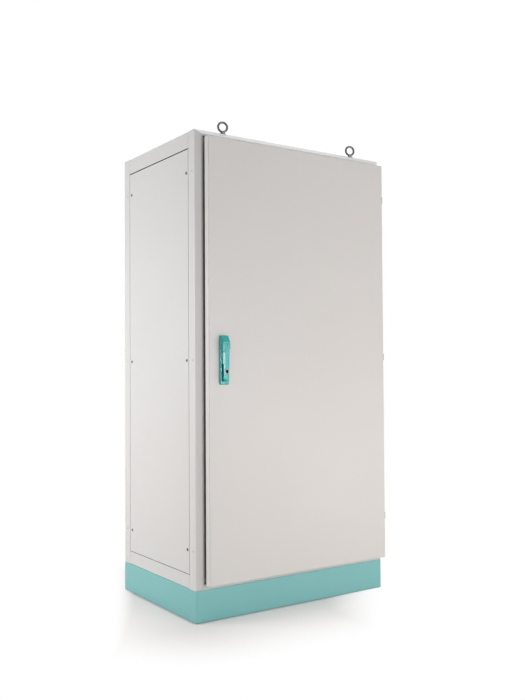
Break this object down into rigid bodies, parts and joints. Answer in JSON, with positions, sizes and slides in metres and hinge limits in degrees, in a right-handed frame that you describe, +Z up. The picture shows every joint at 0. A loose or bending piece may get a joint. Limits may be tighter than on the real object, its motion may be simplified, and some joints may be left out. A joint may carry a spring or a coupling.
{
  "type": "electrical cabinet",
  "caption": "Floor-standing sheet-steel electrical cabinet with a hinged front door, swing handle with lock rods, lifting eyes and a plinth.",
  "frame": {"origin": "centre of the plinth's footprint, on the floor", "axes": "+Z up, the door faces -Y, hinges at +X"},
  "size_m": [1.0044, 0.7435, 2.0593],
  "materials": {
    "body_paint": "fine textured light grey powder coat",
    "door_paint": "fine textured light grey powder coat",
    "plinth_paint": "satin grey-green powder coat",
    "handle_plastic": "moulded, half gloss",
    "gasket_rubber": "foamed seal",
    "lock_chrome": "polished",
    "key_black": "black, half gloss",
    "black_plastic": "moulded, matt",
    "plug_plastic": "moulded, matt",
    "zinc_steel": "zinc plated"
  },
  "bodies": {
    "cabinet": {"front_bottom_rail": "body_paint", "front_left_post": "body_paint", "front_right_post": "body_paint", "front_top_rail": "body_paint", "gland_plate_front": "zinc_steel", "gland_plate_middle": "zinc_steel", "gland_plate_rear": "zinc_steel", "hinge_frame_leaves": "zinc_steel", "hinge_pins": "zinc_steel", "left_bottom_rail": "body_paint", "left_side_panel": "body_paint", "left_top_rail": "body_paint", "lifting_eyes": "zinc_steel", "lifting_nuts": "zinc_steel", "mounting_plate": "zinc_steel", "plate_brackets": "zinc_steel", "plinth_bolts": "zinc_steel", "plinth_front": "plinth_paint", "plinth_left": "plinth_paint", "plinth_nuts": "zinc_steel", "plinth_rear": "plinth_paint", "plinth_right": "plinth_paint", "post_plugs": "plug_plastic", "rear_bottom_rail": "body_paint", "rear_left_post": "body_paint", "rear_panel": "body_paint", "rear_panel_screws": "zinc_steel", "rear_right_post": "body_paint", "rear_top_rail": "body_paint", "right_bottom_rail": "body_paint", "right_side_panel": "body_paint", "right_top_rail": "body_paint", "roof_panel": "body_paint", "roof_screws": "zinc_steel", "side_panel_screws": "zinc_steel"},
    "door": {"door_panel": "door_paint", "door_gasket": "gasket_rubber", "door_stiffener_left": "door_paint", "door_stiffener_right": "door_paint", "hinge_door_leaves": "zinc_steel", "handle_base": "handle_plastic", "handle_screws": "zinc_steel", "lock_gearbox": "black_plastic", "gearbox_cover": "black_plastic", "rod_guides": "black_plastic"},
    "handle": {"handle_hub": "handle_plastic", "lock_pinion": "zinc_steel"},
    "lever": {"swing_lever": "handle_plastic", "lever_pin": "zinc_steel", "lock_ring": "lock_chrome"},
    "key": {"key_plug": "key_black"},
    "upper_rod": {"upper_lock_rod": "zinc_steel"},
    "lower_rod": {"lower_lock_rod": "zinc_steel"}
  },
  "joints": [
    {"name": "door_hinge", "type": "hinge", "parent": "cabinet", "child": "door", "pos_m": [0.484, -0.356, 1.06], "axis": [0, 0, 1], "range_deg": [0, 130]},
    {"name": "handle_turn", "type": "hinge", "parent": "door", "child": "handle", "pos_m": [-0.4045, -0.4, 1.083], "axis": [0, -1, 0], "range_deg": [0, 90]},
    {"name": "lever_lift", "type": "hinge", "parent": "handle", "child": "lever", "pos_m": [-0.4045, -0.408, 1.083], "axis": [-1, 0, 0], "range_deg": [0, 35]},
    {"name": "key_turn", "type": "hinge", "parent": "lever", "child": "key", "pos_m": [-0.4045, -0.41, 1.012], "axis": [0, -1, 0], "range_deg": [0, 90]},
    {"name": "upper_rod_slide", "type": "slide", "parent": "door", "child": "upper_rod", "axis": [0, 0, -1], "range_m": [0, 0.0189]},
    {"name": "lower_rod_slide", "type": "slide", "parent": "door", "child": "lower_rod", "axis": [0, 0, 1], "range_m": [0, 0.0189]}
  ],
  "couplings": [
    {"joint": "upper_rod_slide", "follows": "handle_turn", "m_per_rad": 0.012},
    {"joint": "lower_rod_slide", "follows": "handle_turn", "m_per_rad": 0.012}
  ]
}
